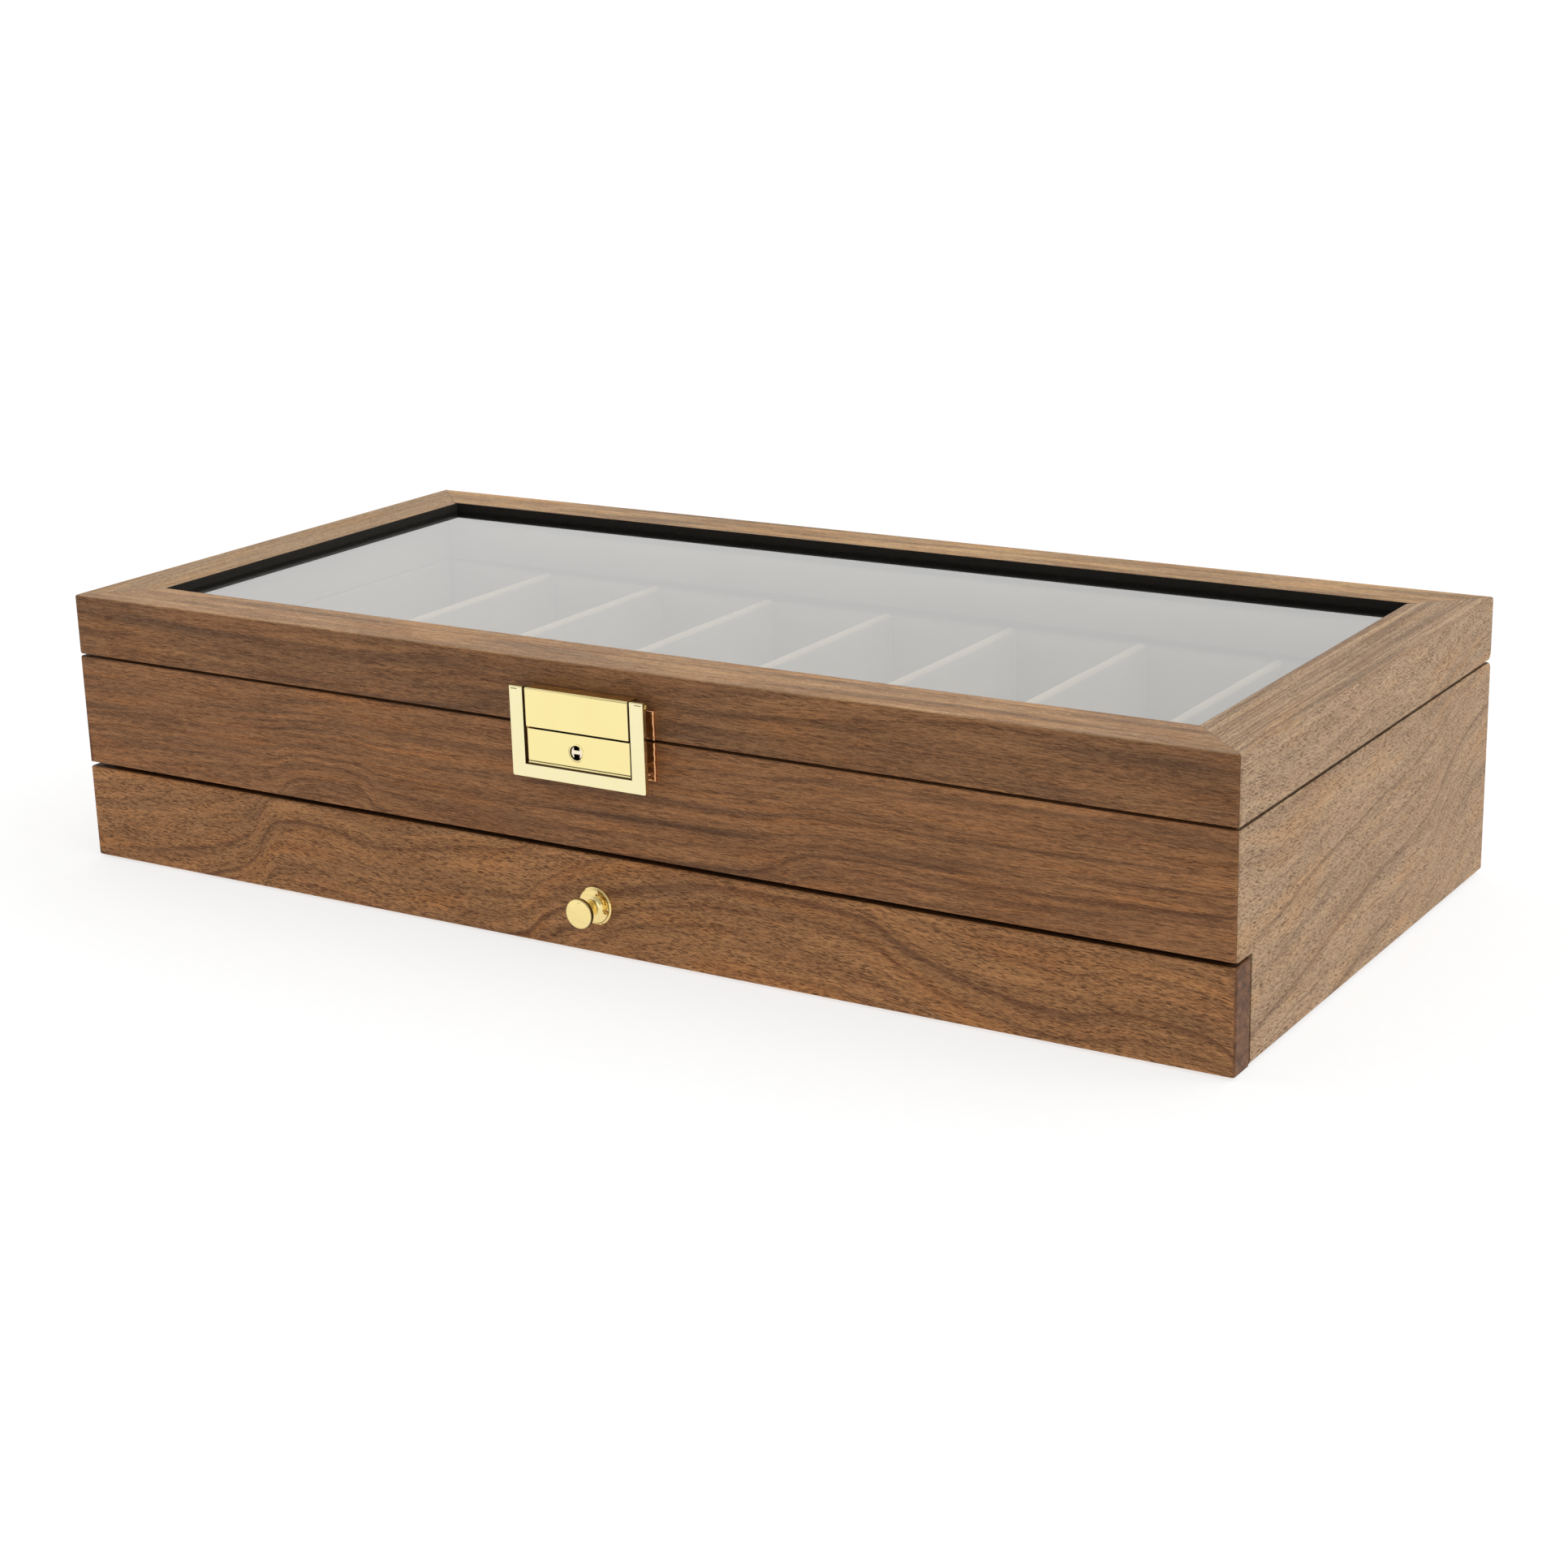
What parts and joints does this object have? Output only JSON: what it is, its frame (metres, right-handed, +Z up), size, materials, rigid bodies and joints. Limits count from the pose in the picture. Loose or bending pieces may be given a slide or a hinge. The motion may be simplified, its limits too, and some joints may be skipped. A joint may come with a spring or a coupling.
{
  "type": "knife display case",
  "caption": "Walnut display case for folding knives: hinged glass-topped lid with a brass hasp and lock, divided velvet tray, and a full-width drawer below.",
  "frame": {"origin": "centre of the footprint of the closed case, on the plane it rests on", "axes": "+X along the width to the right seen from the front, +Y to the back (hinge side), +Z up"},
  "size_m": [0.4, 0.1995, 0.0874],
  "materials": {
    "walnut": "satin lacquered walnut",
    "plywood": "bare plywood",
    "poplar": "bare sanded",
    "felt": "dark felt",
    "cream_velvet": "short velvet nap",
    "glass": "clear float glass",
    "polished_brass": "polished, lacquered",
    "steel": "zinc plated"
  },
  "bodies": {
    "case": {"side_panel_left": "walnut", "side_panel_right": "walnut", "front_panel": "walnut", "back_panel": "walnut", "base_panel": "plywood", "base_felt": "felt", "tray_floor": "plywood", "drawer_stop": "poplar", "lining_left": "cream_velvet", "lining_right": "cream_velvet", "lining_front": "cream_velvet", "lining_back": "cream_velvet", "divider_1": "cream_velvet", "divider_2": "cream_velvet", "divider_3": "cream_velvet", "divider_4": "cream_velvet", "divider_5": "cream_velvet", "divider_6": "cream_velvet", "divider_7": "cream_velvet", "floor_pads": "cream_velvet", "hinge_leaf_case_left": "polished_brass", "hinge_leaf_case_right": "polished_brass", "hinge_pins": "polished_brass", "hinge_screws_case": "polished_brass", "lock_plate": "polished_brass", "lock_plate_screws": "polished_brass", "lock_cover": "polished_brass", "key_barrel": "polished_brass"},
    "lid": {"lid_rail_front": "walnut", "lid_rail_back": "walnut", "lid_rail_left": "walnut", "lid_rail_right": "walnut", "glass_pane": "glass", "lid_lining_left": "cream_velvet", "lid_lining_right": "cream_velvet", "lid_lining_front": "cream_velvet", "lid_lining_back": "cream_velvet", "hinge_leaf_lid_left": "polished_brass", "hinge_leaf_lid_right": "polished_brass", "hinge_screws_lid": "polished_brass", "clasp_plate": "polished_brass", "clasp_plate_screws": "polished_brass", "clasp_cover": "polished_brass", "clasp_pin": "polished_brass"},
    "flap": {"clasp_flap": "polished_brass"},
    "bolt": {"lock_bolt": "steel"},
    "drawer": {"drawer_front": "walnut", "drawer_side_left": "poplar", "drawer_side_right": "poplar", "drawer_bottom": "plywood", "drawer_back": "poplar", "drawer_pad": "cream_velvet", "knob_rosette": "polished_brass", "knob": "polished_brass", "knob_screw": "steel"}
  },
  "joints": [
    {"name": "lid_hinge", "type": "hinge", "parent": "case", "child": "lid", "pos_m": [0, 0.0927, 0.0678], "axis": [-1, 0, 0], "range_deg": [0, 100]},
    {"name": "flap_pivot", "type": "hinge", "parent": "lid", "child": "flap", "pos_m": [0, -0.0996, 0.0789], "axis": [-1, 0, 0], "range_deg": [0, 150]},
    {"name": "bolt_slide", "type": "slide", "parent": "case", "child": "bolt", "axis": [0, 0, 1], "range_m": [0, 0.003]},
    {"name": "drawer_slide", "type": "slide", "parent": "case", "child": "drawer", "axis": [0, -1, 0], "range_m": [0, 0.127]}
  ]
}
